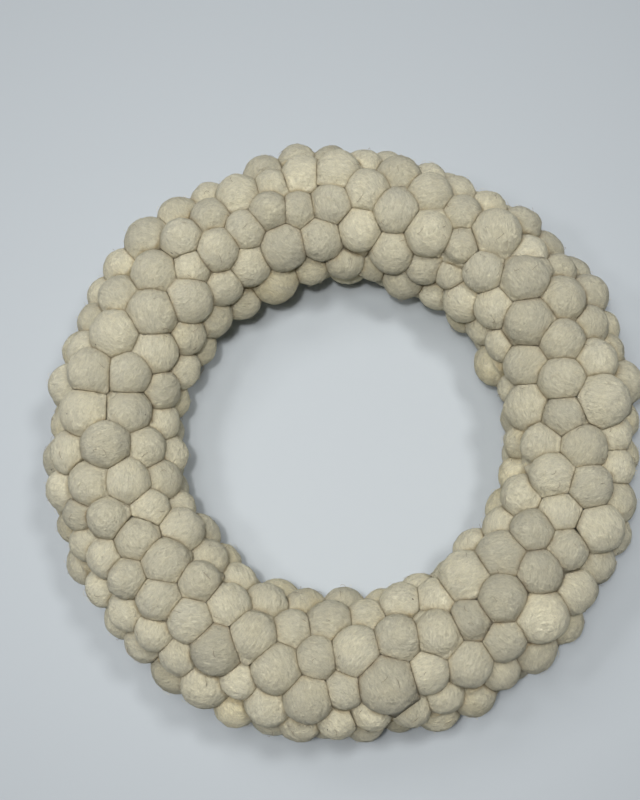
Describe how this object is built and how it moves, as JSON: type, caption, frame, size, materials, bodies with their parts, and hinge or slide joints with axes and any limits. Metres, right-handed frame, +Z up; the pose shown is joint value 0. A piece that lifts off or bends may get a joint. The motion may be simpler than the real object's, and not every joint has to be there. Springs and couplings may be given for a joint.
{
  "type": "felt ball wreath",
  "caption": "Round wreath covered all round with pressed cream wool felt balls, to hang or to lie on a table as a ring.",
  "frame": {"origin": "middle of the base, on the surface that the wreath lies on, at the centre of its hole", "axes": "+Z up out of the surface along the ring's axis, +X and +Y in the plane of the ring, which is round; -Y faces the picture's viewer"},
  "size_m": [0.2989, 0.3012, 0.0744],
  "materials": {
    "felt": "matt undyed wool felt"
  },
  "bodies": {
    "root": {"balls_under_01": "felt", "balls_under_02": "felt", "balls_under_03": "felt", "balls_under_04": "felt", "balls_under_05": "felt", "balls_under_06": "felt", "balls_under_07": "felt", "balls_under_08": "felt", "balls_under_09": "felt", "balls_under_10": "felt", "balls_under_11": "felt", "balls_under_12": "felt", "balls_under_13": "felt", "balls_under_14": "felt", "balls_under_15": "felt", "balls_under_16": "felt", "balls_under_17": "felt", "balls_under_18": "felt", "balls_under_19": "felt", "balls_under_20": "felt", "balls_under_21": "felt", "balls_under_22": "felt", "balls_under_23": "felt", "balls_under_24": "felt", "balls_under_25": "felt", "balls_under_26": "felt", "balls_under_27": "felt", "balls_under_28": "felt", "balls_upper_01": "felt", "balls_upper_02": "felt", "balls_upper_03": "felt", "balls_upper_04": "felt", "balls_upper_05": "felt", "balls_upper_06": "felt", "balls_upper_07": "felt", "balls_upper_08": "felt", "balls_upper_09": "felt", "balls_upper_10": "felt", "balls_upper_11": "felt", "balls_upper_12": "felt", "balls_upper_13": "felt", "balls_upper_14": "felt", "balls_upper_15": "felt", "balls_upper_16": "felt", "balls_upper_17": "felt", "balls_upper_18": "felt", "balls_upper_19": "felt", "balls_upper_20": "felt", "balls_upper_21": "felt", "balls_upper_22": "felt", "balls_upper_23": "felt", "balls_upper_24": "felt", "balls_upper_25": "felt", "balls_upper_26": "felt", "balls_upper_27": "felt", "balls_upper_28": "felt"}
  },
  "joints": []
}
